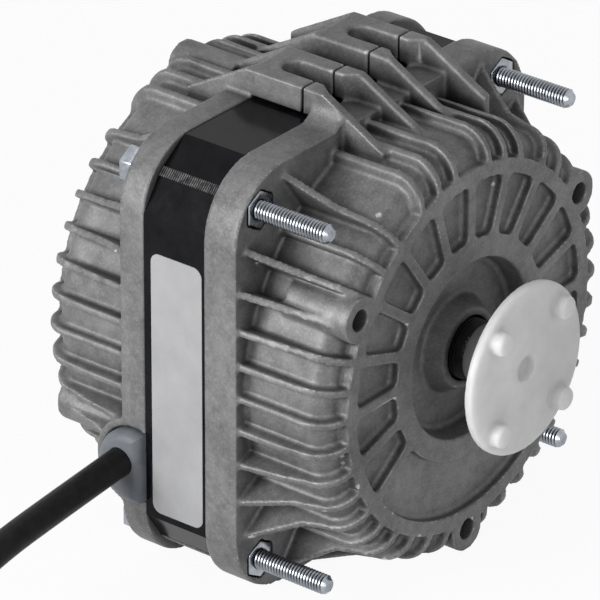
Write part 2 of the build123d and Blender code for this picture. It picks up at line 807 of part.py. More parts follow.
# Cable gland: a moulded plug, flat where it rests on the stack
route = [Vector(*point) for point in cable_route]
cable_way = (route[1] - route[0]).normalized()
with BuildPart() as cable_gland:
    with BuildSketch(Plane(origin=(gland_inner_x, 0, 0), x_dir=(0, -1, 0), z_dir=(-1, 0, 0))) as plug:
        with Locations((-gland_y, gland_z)):
            Circle(gland_r)
        with Locations((-gland_flat_y + gland_r, gland_z)):
            Rectangle(2 * gland_r, 3 * gland_r, mode=Mode.SUBTRACT)
    extrude(plug.sketch, amount=gland_inner_x + flange_side / 2 + gland_proud)
    fillet(cable_gland.faces().sort_by(Axis.X)[0].edges(), gland_round)
    with BuildSketch(Plane(origin=route[0], z_dir=cable_way)) as cable_hole:
        Circle(cable_r + cable_gap)
    extrude(cable_hole.sketch, amount=gland_r, mode=Mode.SUBTRACT)
    with BuildSketch(Plane(origin=route[0], z_dir=(1, 0, 0))) as lead_hole:
        Circle(lead_passage_r)
    extrude(lead_hole.sketch, amount=3 * gland_r, mode=Mode.SUBTRACT)
cable_gland.part.label = "cable_gland"
export_step(cable_gland.part, "parts/cable_gland.step")

# Cable: straight runs joined by tangent arcs
corner_radii = []
for before, corner, after in zip(route, route[1:], route[2:]):
    turn = (corner - before).get_angle(after - corner)
    shorter = min((corner - before).length, (after - corner).length)
    corner_radii.append(cable_arc_share * shorter / tan(radians(turn) / 2))
print("cable corner radii, mm:", [round(r, 1) for r in corner_radii])
with BuildPart() as power_cable:
    with BuildLine() as path:
        FilletPolyline(*route, radius=corner_radii)
    with BuildSketch(Plane(origin=route[0], z_dir=cable_way)) as section:
        Circle(cable_r)
    sweep(sections=section.sketch, path=path.wires()[0])
plain_volume = pi * cable_r**2 * path.wires()[0].length
print("cable volume over section x length:", power_cable.part.volume / plain_volume)
power_cable.part.label = "power_cable"
export_step(power_cable.part, "parts/power_cable.step")

# The rest of the cable lies in a flat coil on the surface the motor stands on
with BuildPart() as cable_coil:
    with BuildSketch(Plane.XY.offset(floor_z)) as coil_plan:
        with Locations((route[-1].X, route[-1].Y - coil_outer_turn_r)):
            Circle(coil_outer_turn_r + cable_r)
            Circle(coil_inner_turn_r - cable_r, mode=Mode.SUBTRACT)
    extrude(coil_plan.sketch, amount=2 * cable_r)
    fillet(cable_coil.edges().filter_by(GeomType.CIRCLE), coil_round)
cable_coil.part.label = "cable_coil"
export_step(cable_coil.part, "parts/cable_coil.step")

# Leads from the gland to the coils and to the earth screw
earth_head_y = rear_face_y + dome_depth - pocket_depth - wall - earth_head_t
lead_routes = [
    [(-43.5, 25.8, -20.3), (-30.5, 25.8, -20.3), (-25.5, 32, -17), (-24.5, 33.5, -7), (-26.5, 33.5, 2)],
    [(-43.5, 26.8, -22.1), (-30.5, 26.8, -22.1), (-22, 32, -25), (-9, 33.5, -26.5), (1, 33.5, -28)],
    [(-43.5, 27.9, -20.2), (-30.5, 27.9, -20.2), (-27, 36, -21.5), (-23.5, 42.7, -20.5), (-18.5, 42.7, -18)],
]
with BuildPart() as lead_wires:
    for points in lead_routes:
        with BuildLine() as lead_path:
            FilletPolyline(*[Vector(*p) for p in points], radius=lead_bend)
        start = lead_path.wires()[0]
        with BuildSketch(Plane(origin=start @ 0, z_dir=start % 0)) as lead_section:
            Circle(lead_r)
        sweep(sections=lead_section.sketch, path=start)
lead_wires.part.label = "lead_wires"
export_step(lead_wires.part, "parts/lead_wires.step")

with BuildPart() as crimp_sleeves:
    for points in lead_routes[:2]:
        end, before = Vector(*points[-1]), Vector(*points[-2])
        way = (end - before).normalized()
        with BuildSketch(Plane(origin=end, z_dir=way)) as sleeve:
            Circle(sleeve_r)
        extrude(sleeve.sketch, amount=sleeve_length)
crimp_sleeves.part.label = "crimp_sleeves"
export_step(crimp_sleeves.part, "parts/crimp_sleeves.step")

with BuildPart() as earth_screw:
    with BuildSketch(across(earth_head_y + earth_head_t)) as head:
        with Locations(earth_at):
            Circle(earth_head_r)
    extrude(head.sketch, amount=earth_head_t)
    with BuildSketch(across(earth_head_y + earth_head_t)) as shank:
        with Locations(earth_at):
            Circle(earth_shank_r)
    extrude(shank.sketch, amount=-earth_shank_length)
earth_screw.part.label = "earth_screw"
export_step(earth_screw.part, "parts/earth_screw.step")
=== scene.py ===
import bpy
import math
from mathutils import Matrix, Vector


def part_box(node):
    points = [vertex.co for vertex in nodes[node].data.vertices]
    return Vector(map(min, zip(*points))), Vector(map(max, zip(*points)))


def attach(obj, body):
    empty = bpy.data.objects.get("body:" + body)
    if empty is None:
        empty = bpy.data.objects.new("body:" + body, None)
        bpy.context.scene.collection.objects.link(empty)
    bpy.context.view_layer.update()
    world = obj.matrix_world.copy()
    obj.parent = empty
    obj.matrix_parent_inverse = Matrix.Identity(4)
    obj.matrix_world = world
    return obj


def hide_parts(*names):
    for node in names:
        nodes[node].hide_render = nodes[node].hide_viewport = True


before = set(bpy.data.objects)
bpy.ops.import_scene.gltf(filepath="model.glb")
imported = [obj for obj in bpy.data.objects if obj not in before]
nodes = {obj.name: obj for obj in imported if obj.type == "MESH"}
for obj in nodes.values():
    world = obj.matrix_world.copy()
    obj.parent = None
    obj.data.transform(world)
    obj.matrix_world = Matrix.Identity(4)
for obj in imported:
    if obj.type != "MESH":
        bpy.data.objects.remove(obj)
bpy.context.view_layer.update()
scene = bpy.context.scene
scene.view_settings.view_transform = "Standard"
print("frame loaded")


# Camera

view = {
    "place": (-0.845386, -0.653482, 0.556703),
    "right": (0.624499, -0.781020, 0.002858),
    "up": (0.357582, 0.289169, 0.887985),
    "back": (-0.694360, -0.553524, 0.459864),
    "sensor": 36,
    "lens": 372.9,
    "nearest": 0.05,
}


def addCamera():
    turn = Matrix([view[axis] for axis in ("right", "up", "back")]).transposed().to_euler()
    bpy.ops.object.camera_add(location=view["place"], rotation=turn)
    camera = bpy.context.object
    camera.name = "camera"
    camera.data.sensor_width = view["sensor"]
    camera.data.lens = view["lens"]
    camera.data.clip_start = view["nearest"]
    scene.camera = camera


addCamera()
print("camera placed")


# Modelling helpers

mergeDistance = {"cad": 0.000005, "own": 0.000001}
cornerSides = ((-1, -1), (-1, 1), (1, -1), (1, 1))  # x and z of the motor's four corners


def dropSelection():
    bpy.ops.object.select_all(action="DESELECT")


def applyModifier(piece, kind, **settings):
    bpy.context.view_layer.objects.active = piece
    modifier = piece.modifiers.new(kind, kind)
    for key, value in settings.items():
        setattr(modifier, key, value)
    bpy.ops.object.modifier_apply(modifier=modifier.name)


def pick(piece, kind, passes):  # stays in edit mode, with only the parts of the mesh that pass selected
    bpy.ops.object.mode_set(mode="EDIT")
    bpy.ops.mesh.select_mode(type=kind)
    bpy.ops.mesh.select_all(action="DESELECT")
    bpy.ops.object.mode_set(mode="OBJECT")
    mesh = piece.data
    for part in {"VERT": mesh.vertices, "EDGE": mesh.edges, "FACE": mesh.polygons}[kind]:
        part.select = passes(part)
    bpy.ops.object.mode_set(mode="EDIT")


def faceOutwards():  # the last step in edit mode
    bpy.ops.mesh.select_all(action="SELECT")
    bpy.ops.mesh.normals_make_consistent(inside=False)
    bpy.ops.object.mode_set(mode="OBJECT")


def smoothBelow(degrees):
    bpy.ops.object.shade_smooth_by_angle(angle=math.radians(degrees))


def copyOf(source, name):
    piece = bpy.data.objects.new(name, source.data.copy())
    scene.collection.objects.link(piece)
    return piece


def weldedCopy(nodeName, name):  # a CAD node's mesh is loose triangles, so they are joined first
    piece = copyOf(nodes[nodeName], name)
    dropSelection()
    piece.select_set(True)
    applyModifier(piece, "WELD", merge_threshold=mergeDistance["cad"])
    return piece


# Cable: the route, then a flat coil just outside the view

tube = {
    "order": 3,
    "stepsAlong": 8,
    "stepsRound": 6,
}

cable = {
    "radius": 0.00295,
    "route": [
        (-0.0445, 0.0269, -0.0209),
        (-0.0650, 0.0268, -0.0227),
        (-0.0860, 0.0271, -0.0253),
        (-0.1030, 0.0276, -0.0318),
        (-0.1220, 0.0279, -0.04205),
        (-0.1420, 0.0266, -0.04205),
    ],
    "coilRadius": 0.0370,
    "coilPitch": 0.0060,
    "coilTurns": 2.05,
    "pointsPerTurn": 14,
}

cableEnd = {
    "leads": ("brownLead", "blueLead", "earthLead"),
    "leadRadius": 0.00095,
    "wireRadius": 0.00045,
    "spread": 0.0019,
    "spreadAtStart": 0.6,
    "spreadPerTurn": 6,
    "shift": 0.0012,
    "turns": (0.0, 0.04, 0.09, 0.14),
    "inward": (0.0, 0.0008, 0.0030, 0.0062),
    "lift": 0.00057,
    "drop": 0.0012,
    "wireLength": 0.006,
    "wireParts": (-0.2, 0.5, 1.0),
}

tie = {
    "atTurn": 0.5,
    "width": 0.0036,
    "thickness": 0.00018,
    "bend": 0.96,
    "bendSteps": 7,
    "headSize": (0.0048, 0.0056, 0.0034),
    "headSink": 0.0001,
    "headEdge": 0.0006,
    "headEdgeSteps": 3,
    "smoothBelow": 35,
}


def coilPoint(turn, stretch=1.0, inward=0.0, lift=0.0):
    startX, startY, startZ = cable["route"][-1]
    angle = math.pi / 2 + math.tau * turn
    radius = (cable["coilRadius"] - cable["coilPitch"] * turn) * stretch - inward
    centreY = startY - cable["coilRadius"]
    return (startX + radius * math.cos(angle), centreY + radius * math.sin(angle), startZ + lift)


def roundCurve(name, points, radius):
    curve = bpy.data.curves.new(name, "CURVE")
    curve.dimensions = "3D"
    spline = curve.splines.new("NURBS")
    spline.points.add(len(points) - 1)
    for target, point in zip(spline.points, points):
        target.co = (*point, 1)
        target.radius = radius  # in metres, with a bevel of 1, so that the curve's box is its real one
    spline.order_u = tube["order"]
    spline.use_endpoint_u = True
    spline.resolution_u = tube["stepsAlong"]
    curve.bevel_depth = 1.0
    curve.bevel_resolution = tube["stepsRound"]
    curve.use_fill_caps = True
    piece = bpy.data.objects.new(name, curve)
    scene.collection.objects.link(piece)
    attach(piece, "stator")
    return piece


def leadPoints(side, lastTurn):  # the leads fan out and sink to the floor as they leave the jacket
    points = []
    for along, inward in zip(cableEnd["turns"], cableEnd["inward"]):
        fan = side * cableEnd["spread"] * (cableEnd["spreadAtStart"] + cableEnd["spreadPerTurn"] * along)
        lift = cableEnd["lift"] * (1 if side else -1) - cableEnd["drop"] * along / cableEnd["turns"][-1]
        points.append(coilPoint(lastTurn + along, inward=inward + cableEnd["shift"] - fan, lift=lift))
    return points


def addLeadEnds(lastTurn):
    pieces = {}
    for number, lead in enumerate(cableEnd["leads"]):
        points = leadPoints(number - 1, lastTurn)
        pieces[lead] = roundCurve(lead, points, cableEnd["leadRadius"])
        tip, before = Vector(points[-1]), Vector(points[-2])
        onward = (tip - before).normalized() * cableEnd["wireLength"]
        wirePoints = [tuple(tip + onward * part) for part in cableEnd["wireParts"]]
        pieces[lead + "Wire"] = roundCurve(lead + "Wire", wirePoints, cableEnd["wireRadius"])
    return pieces


def addStrap(middle, across):  # an open sleeve with bent corners, given its thickness outwards
    dropSelection()
    bpy.ops.mesh.primitive_cube_add(size=1, location=middle,
                                    scale=(tie["width"], across, 2 * cable["radius"]))
    strap = bpy.context.object
    strap.name = "coilTie"
    bpy.ops.object.transform_apply()

    def liesAcross(face):
        return abs(face.normal.x) > 0.9

    def runsAlong(edge):
        first, second = (strap.data.vertices[index].co for index in edge.vertices)
        return abs(first.x - second.x) > tie["width"] / 2

    pick(strap, "FACE", liesAcross)
    bpy.ops.mesh.delete(type="FACE")
    pick(strap, "EDGE", runsAlong)
    bpy.ops.mesh.bevel(offset=cable["radius"] * tie["bend"], segments=tie["bendSteps"])
    faceOutwards()
    applyModifier(strap, "SOLIDIFY", thickness=tie["thickness"], offset=1)
    return strap


def addTie():  # a strap round both turns, with its locking head on top
    nearTurn, farTurn = Vector(coilPoint(tie["atTurn"])), Vector(coilPoint(tie["atTurn"] + 1))
    middle = (nearTurn + farTurn) / 2
    strap = addStrap(middle, (nearTurn - farTurn).length + 2 * cable["radius"])
    dropSelection()
    top = middle + Vector((0, 0, cable["radius"] + tie["headSize"][2] / 2 - tie["headSink"]))
    bpy.ops.mesh.primitive_cube_add(size=1, location=top, scale=tie["headSize"])
    bpy.ops.object.transform_apply()
    applyModifier(bpy.context.object, "BEVEL", width=tie["headEdge"], segments=tie["headEdgeSteps"])
    strap.select_set(True)
    bpy.context.view_layer.objects.active = strap
    bpy.ops.object.join()
    smoothBelow(tie["smoothBelow"])
    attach(strap, "stator")
    return strap


def addCable():
    perTurn = cable["pointsPerTurn"]
    bulge = 1 / (0.75 + 0.25 * math.cos(math.tau / perTurn))  # a curve of order 3 runs inside its points
    steps = round(cable["coilTurns"] * perTurn)
    points = cable["route"] + [coilPoint(step / perTurn, bulge) for step in range(1, steps + 1)]
    piece = roundCurve("supplyCable", points, cable["radius"])
    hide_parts("power_cable", "cable_coil")
    leads = addLeadEnds(steps / perTurn)
    strap = addTie()
    return piece, leads, strap


supplyCable, cableLeads, coilTie = addCable()
print("cable laid, stripped and tied")


# Shader helpers

def principled(tree):
    return next(node for node in tree.nodes if node.type == "BSDF_PRINCIPLED")


def newMaterial(name):
    material = bpy.data.materials.new(name)
    material.use_nodes = True
    tree = material.node_tree
    return material, tree, principled(tree)


def addNode(tree, kind, inputs=None, **settings):  # an input is a fixed value or another node's output
    node = tree.nodes.new(kind)
    for key, value in settings.items():
        setattr(node, key, value)
    for key, value in (inputs or {}).items():
        if hasattr(value, "is_output"):
            tree.links.new(value, node.inputs[key])
        else:
            node.inputs[key].default_value = value
    return node


def objectCoordinates(tree):
    return addNode(tree, "ShaderNodeTexCoord").outputs["Object"]


def noise(tree, scale, detail, roughness):
    return addNode(tree, "ShaderNodeTexNoise", {
        "Vector": objectCoordinates(tree), "Scale": scale, "Detail": detail, "Roughness": roughness,
    }).outputs["Fac"]


def remap(tree, value, low, high, toLow, toHigh):  # every span below lists these four in this order
    return addNode(tree, "ShaderNodeMapRange", {
        "Value": value, "From Min": low, "From Max": high, "To Min": toLow, "To Max": toHigh,
    }).outputs["Result"]


def mixColours(tree, amount, first, second):
    first, second = (colour if hasattr(colour, "is_output") else (*colour, 1) for colour in (first, second))
    return addNode(tree, "ShaderNodeMix", {0: amount, 6: first, 7: second}, data_type="RGBA").outputs[2]


def calculate(tree, operation, first, second):
    return addNode(tree, "ShaderNodeMath", {0: first, 1: second}, operation=operation).outputs[0]


def paintedShadeMask(tree, reach, span):  # mask for painted shade, high where the surface is hemmed in by others
    near = addNode(tree, "ShaderNodeAmbientOcclusion", {"Distance": reach}, samples=8)
    return remap(tree, near.outputs["AO"], *span)


def bump(tree, height, strength, distance, before=None):
    inputs = {"Height": height, "Strength": strength, "Distance": distance}
    if before is not None:
        inputs["Normal"] = before
    return addNode(tree, "ShaderNodeBump", inputs).outputs["Normal"]


# Grain: one group that every finish uses with its own scale

grainValues = {
    "roughness": 0.6,
    "mottleDetail": 4,
    "fineDetail": 3,
    "fineScale": 2.3,
    "reliefScale": 4.0,
    "span": (0.3, 0.7, 0, 1),
}


def grainGroup():
    group = bpy.data.node_groups.new("grain", "ShaderNodeTree")
    group.interface.new_socket("Scale", in_out="INPUT", socket_type="NodeSocketFloat")
    for name in ("Mottle", "Fine", "Relief"):
        group.interface.new_socket(name, in_out="OUTPUT", socket_type="NodeSocketFloat")
    scaleIn = addNode(group, "NodeGroupInput").outputs["Scale"]

    def layer(detail, times=None):
        scale = calculate(group, "MULTIPLY", scaleIn, times) if times else scaleIn
        return noise(group, scale, detail, grainValues["roughness"])

    mottle = remap(group, layer(grainValues["mottleDetail"]), *grainValues["span"])
    fine = remap(group, layer(grainValues["fineDetail"], grainValues["fineScale"]), *grainValues["span"])
    relief = layer(grainValues["fineDetail"], grainValues["reliefScale"])
    addNode(group, "NodeGroupOutput", {"Mottle": mottle, "Fine": fine, "Relief": relief})
    return group


grain = grainGroup()


def addGrain(tree, scale):
    return addNode(tree, "ShaderNodeGroup", {"Scale": scale}, node_tree=grain).outputs


# Materials: noises by scale, detail and roughness, and spans as remap takes them

castValues = {
    "dark": (0.094, 0.094, 0.095),
    "pale": (0.180, 0.180, 0.181),
    # pale tone for random specks and for the painted highlight on crests
    "edge": (0.62, 0.62, 0.62),
    # painted shade colour for hollows; also the tone of the random dark blotches
    "recess": (0.010, 0.010, 0.011),
    "metallic": 0.35,
    "gloss": 0.30,
    "grainScale": 1900,
    "patches": (55, 6, 0.66),
    "patchSpan": (0.32, 0.68, 0, 1),
    "blotches": (420, 4, 0.6),
    "blotchSpan": (0.42, 0.70, 0, 0.30),
    "speckSpan": (0.45, 1.0, 0, 0.10),
    # painted highlight on sharp crests, broken up by noise
    "paintedHighlightSpan": (0.535, 0.60, 0, 0.95),
    "highlightBreakup": (350, 3, 0.6),
    "highlightBreakupSpan": (0.35, 0.65, 0.15, 1),
    # reach and span of the painted shade in hollows
    "reach": 0.004,
    "paintedShadeSpan": (0.88, 0.30, 0, 0.92),
    "roughnessSpan": (0, 1, 0.40, 0.60),
    "grainRelief": {"strength": 0.35, "distance": 0.00007},
    "dents": (420, 3, 0.5),
    "dentRelief": {"strength": 0.30, "distance": 0.00016},
}


def castMaterial():
    material, tree, shader = newMaterial("castAluminium")
    skin = addGrain(tree, castValues["grainScale"])
    patches = remap(tree, noise(tree, *castValues["patches"]), *castValues["patchSpan"])
    colour = mixColours(tree, patches, castValues["dark"], castValues["pale"])
    blotches = remap(tree, noise(tree, *castValues["blotches"]), *castValues["blotchSpan"])
    colour = mixColours(tree, blotches, colour, castValues["recess"])
    specks = remap(tree, skin["Mottle"], *castValues["speckSpan"])
    colour = mixColours(tree, specks, colour, castValues["edge"])
    # painted highlight: sharp crests turned pale, broken up by noise
    pointiness = addNode(tree, "ShaderNodeNewGeometry").outputs["Pointiness"]
    paintedHighlightCrests = remap(tree, pointiness, *castValues["paintedHighlightSpan"])
    highlightBreakup = remap(tree, noise(tree, *castValues["highlightBreakup"]), *castValues["highlightBreakupSpan"])
    colour = mixColours(tree, calculate(tree, "MULTIPLY", paintedHighlightCrests, highlightBreakup), colour, castValues["edge"])
    # painted shade: hollows darkened towards near-black
    paintedShade = paintedShadeMask(tree, castValues["reach"], castValues["paintedShadeSpan"])
    colour = mixColours(tree, paintedShade, colour, castValues["recess"])
    tree.links.new(colour, shader.inputs["Base Color"])
    tree.links.new(remap(tree, skin["Fine"], *castValues["roughnessSpan"]), shader.inputs["Roughness"])
    shader.inputs["Metallic"].default_value = castValues["metallic"]
    shader.inputs["Specular IOR Level"].default_value = castValues["gloss"]
    rough = bump(tree, skin["Relief"], **castValues["grainRelief"])
    dented = bump(tree, noise(tree, *castValues["dents"]), **castValues["dentRelief"], before=rough)
    tree.links.new(dented, shader.inputs["Normal"])
    return material


plainValues = {
    "smoother": 0.06,
    "rougher": 0.08,
    "reliefStrength": 0.4,
}


def plainMaterial(name, dark, pale, roughness, metallic=0.0, scale=400, relief=0.00004, gloss=0.5):
    material, tree, shader = newMaterial(name)
    skin = addGrain(tree, scale)
    tree.links.new(mixColours(tree, skin["Mottle"], dark, pale), shader.inputs["Base Color"])
    smoothest, roughest = roughness - plainValues["smoother"], roughness + plainValues["rougher"]
    tree.links.new(remap(tree, skin["Fine"], 0, 1, smoothest, roughest), shader.inputs["Roughness"])
    shader.inputs["Metallic"].default_value = metallic
    shader.inputs["Specular IOR Level"].default_value = gloss
    relieved = bump(tree, skin["Relief"], plainValues["reliefStrength"], relief)
    tree.links.new(relieved, shader.inputs["Normal"])
    return material


clearValues = {
    "scale": 200,
    "relief": 0.00003,
    "gloss": 0.3,
    "colourReach": (1.0, 1.0, 1.0),
}

glandValues = {
    "dark": (0.078, 0.086, 0.098),
    "pale": (0.115, 0.124, 0.138),
    "roughness": 0.46,
    "scatter": 0.35,
    "radius": 0.003,
}


def clearPlastic(name, dark, pale, roughness, scatter, radius):  # lets some light into its skin
    material = plainMaterial(name, dark, pale, roughness, scale=clearValues["scale"],
                             relief=clearValues["relief"], gloss=clearValues["gloss"])
    shader = principled(material.node_tree)
    shader.inputs["Subsurface Weight"].default_value = scatter
    shader.inputs["Subsurface Radius"].default_value = clearValues["colourReach"]
    shader.inputs["Subsurface Scale"].default_value = radius
    return material


zincValues = {
    "dark": (0.26, 0.28, 0.31),
    "pale": (0.42, 0.45, 0.49),
    # painted shade colour for the thread valleys
    "paintedValleyShade": (0.020, 0.022, 0.026),
    "roughness": 0.24,
    "metallic": 1.0,
    "scale": 500,
    "reach": 0.0007,
    "paintedShadeSpan": (0.92, 0.45, 0, 0.92),
}


def zincMaterial():  # bright plating, with painted shade in the valleys of the threads
    material = plainMaterial("zincPlating", zincValues["dark"], zincValues["pale"],
                             zincValues["roughness"], zincValues["metallic"], zincValues["scale"])
    tree = material.node_tree
    baseColour = principled(tree).inputs["Base Color"]
    plating = baseColour.links[0].from_socket
    valleyShadeMask = paintedShadeMask(tree, zincValues["reach"], zincValues["paintedShadeSpan"])
    tree.links.new(mixColours(tree, valleyShadeMask, plating, zincValues["paintedValleyShade"]), baseColour)
    return material


adapterValues = {
    "face": (0.56, 0.56, 0.555),
    "veil": (0.63, 0.63, 0.625),
    # painted shade colour for the hub behind the disc and for the foot of the bumps
    "paintedShadeGrey": (0.19, 0.19, 0.19),
    "roughness": 0.42,
    "scatter": 0.85,
    "radius": 0.010,
    "hubShadeSpan": (-0.0318, -0.0300, 0, 0.9),
    "reach": 0.0016,
    "paintedShadeSpan": (0.90, 0.45, 0, 0.6),
}


def adapterMaterial():  # painted shade on the hub behind the disc and at the foot of the bumps
    material = clearPlastic("adapterNylon", adapterValues["face"], adapterValues["veil"],
                            adapterValues["roughness"], adapterValues["scatter"], adapterValues["radius"])
    tree = material.node_tree
    baseColour = principled(tree).inputs["Base Color"]
    face = baseColour.links[0].from_socket
    placeY = addNode(tree, "ShaderNodeSeparateXYZ", {"Vector": objectCoordinates(tree)}).outputs["Y"]
    shadeBehindDisc = remap(tree, placeY, *adapterValues["hubShadeSpan"])
    footShade = paintedShadeMask(tree, adapterValues["reach"], adapterValues["paintedShadeSpan"])
    withFootShade = mixColours(tree, footShade, face, adapterValues["paintedShadeGrey"])
    tree.links.new(mixColours(tree, shadeBehindDisc, withFootShade, adapterValues["paintedShadeGrey"]), baseColour)
    return material


lacquerValues = {
    "dark": (0.002, 0.002, 0.003),
    "pale": (0.006, 0.006, 0.007),
    "gloss": 0.09,
    "scale": 220,
    "roughnessSpan": (0, 1, 0.12, 0.22),
    "sheets": {"Scale": 630.0, "Distortion": 0.4, "Detail": 2.0},
    "sheetRelief": {"strength": 0.08, "distance": 0.00001},
    "grainRelief": {"strength": 0.15, "distance": 0.00003},
}


def lacquerMaterial():  # the stack's sheets show as faint lines under the lacquer
    material, tree, shader = newMaterial("stackLacquer")
    skin = addGrain(tree, lacquerValues["scale"])
    colour = mixColours(tree, skin["Mottle"], lacquerValues["dark"], lacquerValues["pale"])
    tree.links.new(colour, shader.inputs["Base Color"])
    tree.links.new(remap(tree, skin["Fine"], *lacquerValues["roughnessSpan"]), shader.inputs["Roughness"])
    shader.inputs["Specular IOR Level"].default_value = lacquerValues["gloss"]
    bands = {"Vector": objectCoordinates(tree), **lacquerValues["sheets"]}
    sheets = addNode(tree, "ShaderNodeTexWave", bands, wave_type="BANDS", bands_direction="Y").outputs["Fac"]
    lines = bump(tree, sheets, **lacquerValues["sheetRelief"])
    lacquered = bump(tree, skin["Relief"], **lacquerValues["grainRelief"], before=lines)
    tree.links.new(lacquered, shader.inputs["Normal"])
    return material


plainFinishes = {
    "shaft": {"name": "groundSteel", "dark": (0.45, 0.45, 0.46), "pale": (0.6, 0.6, 0.61),
              "roughness": 0.25, "metallic": 1.0, "scale": 600},
    "rotor": {"name": "rotorSteel", "dark": (0.2, 0.2, 0.21), "pale": (0.32, 0.32, 0.33),
              "roughness": 0.42, "metallic": 1.0, "scale": 300},
    "cage": {"name": "cageAluminium", "dark": (0.5, 0.5, 0.5), "pale": (0.68, 0.68, 0.68),
             "roughness": 0.4, "metallic": 1.0, "scale": 300},
    "copper": {"name": "enamelledCopper", "dark": (0.55, 0.2, 0.09), "pale": (0.7, 0.3, 0.13),
               "roughness": 0.3, "metallic": 0.9, "scale": 300},
    "bronze": {"name": "sinteredBronze", "dark": (0.3, 0.2, 0.09), "pale": (0.42, 0.29, 0.14),
               "roughness": 0.55, "metallic": 0.9, "scale": 900},
    "bobbin": {"name": "bobbinNylon", "dark": (0.72, 0.7, 0.64), "pale": (0.8, 0.79, 0.74),
               "roughness": 0.45},
    "felt": {"name": "oilFelt", "dark": (0.5, 0.47, 0.4), "pale": (0.66, 0.63, 0.55),
             "roughness": 0.9, "scale": 900, "relief": 0.0001},
    "rubber": {"name": "sealRubber", "dark": (0.003, 0.003, 0.003), "pale": (0.006, 0.006, 0.006),
               "roughness": 0.45, "gloss": 0.08},
    "sheets": {"name": "sheetEdgeSteel", "dark": (0.02, 0.02, 0.02), "pale": (0.20, 0.20, 0.20),
               "roughness": 0.26, "metallic": 0.8, "scale": 900},
    "brown": {"name": "brownInsulation", "dark": (0.10, 0.035, 0.014), "pale": (0.14, 0.05, 0.02),
              "roughness": 0.38},
    "blue": {"name": "blueInsulation", "dark": (0.012, 0.09, 0.32), "pale": (0.02, 0.12, 0.40),
             "roughness": 0.38},
    "earth": {"name": "earthInsulation", "dark": (0.14, 0.30, 0.02), "pale": (0.55, 0.48, 0.03),
              "roughness": 0.38, "scale": 60},
    "jacket": {"name": "cableJacket", "dark": (0.005, 0.005, 0.005), "pale": (0.011, 0.011, 0.012),
               "roughness": 0.45, "scale": 500, "gloss": 0.12},
    "leads": {"name": "leadInsulation", "dark": (0.2, 0.09, 0.04), "pale": (0.28, 0.13, 0.06),
              "roughness": 0.4},
    "label": {"name": "labelFoil", "dark": (0.275, 0.275, 0.28), "pale": (0.32, 0.32, 0.325),
              "roughness": 0.42, "metallic": 0.2, "scale": 120, "gloss": 0.25},
}

materials = {
    "cast": castMaterial(),
    "stack": lacquerMaterial(),
    "zinc": zincMaterial(),
    "adapter": adapterMaterial(),
    "gland": clearPlastic("glandNylon", **glandValues),
}
for finish, values in plainFinishes.items():
    materials[finish] = plainMaterial(**values)

dress = {
    "front_housing": "cast", "rear_housing": "cast", "stator_core": "stack", "coil_bobbins": "bobbin",
    "stator_coils": "copper", "shading_rings": "copper", "rotor_core": "rotor", "rotor_cage": "cage",
    "rotor_shaft": "shaft", "front_bearing": "bronze", "rear_bearing": "bronze",
    "front_bearing_clip": "zinc", "rear_bearing_clip": "zinc", "front_oil_felt": "felt",
    "rear_oil_felt": "felt", "thrust_washers": "bobbin", "shaft_seal": "rubber",
    "fan_adapter": "adapter", "tie_studs": "zinc", "front_nuts": "zinc", "rear_nuts": "zinc",
    "rating_label": "label", "cable_gland": "gland", "power_cable": "jacket", "cable_coil": "jacket",
    "lead_wires": "leads", "crimp_sleeves": "zinc", "earth_screw": "zinc",
}
for nodeName, finish in dress.items():
    for slotHolder in nodes[nodeName].material_slots:
        slotHolder.material = materials[finish]
supplyCable.data.materials.append(materials["jacket"])
coilTie.data.materials.append(materials["rubber"])
for name, lead in cableLeads.items():
    finish = "copper" if name.endswith("Wire") else name.replace("Lead", "")
    lead.data.materials.append(materials[finish])
print("materials made")


# Castings and adapter: the CAD form with every edge and corner softened

softPieces = {
    "frontCasting": {"nodeName": "front_housing", "body": "stator", "finish": "cast",
                     "slotName": "casting", "voxel": 0.00042, "rounds": 2, "most": 190000},
    "rearCasting": {"nodeName": "rear_housing", "body": "stator", "finish": "cast",
                    "slotName": "casting", "voxel": 0.00042, "rounds": 2, "most": 190000},
    "fanAdapter": {"nodeName": "fan_adapter", "body": "rotor", "finish": "adapter",
                   "slotName": "white_plastic", "voxel": 0.00030, "rounds": 7, "most": 60000},
}


def softCopy(name, nodeName, body, finish, slotName, voxel, rounds, most):
    piece = weldedCopy(nodeName, name)
    applyModifier(piece, "REMESH", mode="VOXEL", voxel_size=voxel)
    applyModifier(piece, "SMOOTH", factor=0.5, iterations=rounds)
    triangles = sum(len(face.vertices) - 2 for face in piece.data.polygons)
    applyModifier(piece, "DECIMATE", ratio=min(1.0, most / triangles))
    bpy.ops.object.shade_smooth()
    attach(piece, body)
    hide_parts(nodeName)
    piece.data.materials.clear()
    piece.data.materials.append(materials[finish])
    print(name, "softened,", triangles, "triangles down to", len(piece.data.polygons))


for name, values in softPieces.items():
    softCopy(name, **values)
print("castings and adapter made")


# Studs: rolled threads from end to end

stud = {
    "pitch": 0.0007,
    "crest": 0.0020,
    "root": 0.00157,
    "steps": 22,
    "point": 0.0008,
    "corner": 0.0375,
    "lead": 1.5,
    "spareTurns": 3,
    "smoothBelow": 40,
}


def cutEnd(endY, keepBehind):
    bpy.ops.mesh.select_all(action="SELECT")
    bpy.ops.mesh.bisect(plane_co=(0, endY, 0), plane_no=(0, 1, 0), use_fill=True,
                        clear_inner=keepBehind, clear_outer=not keepBehind)


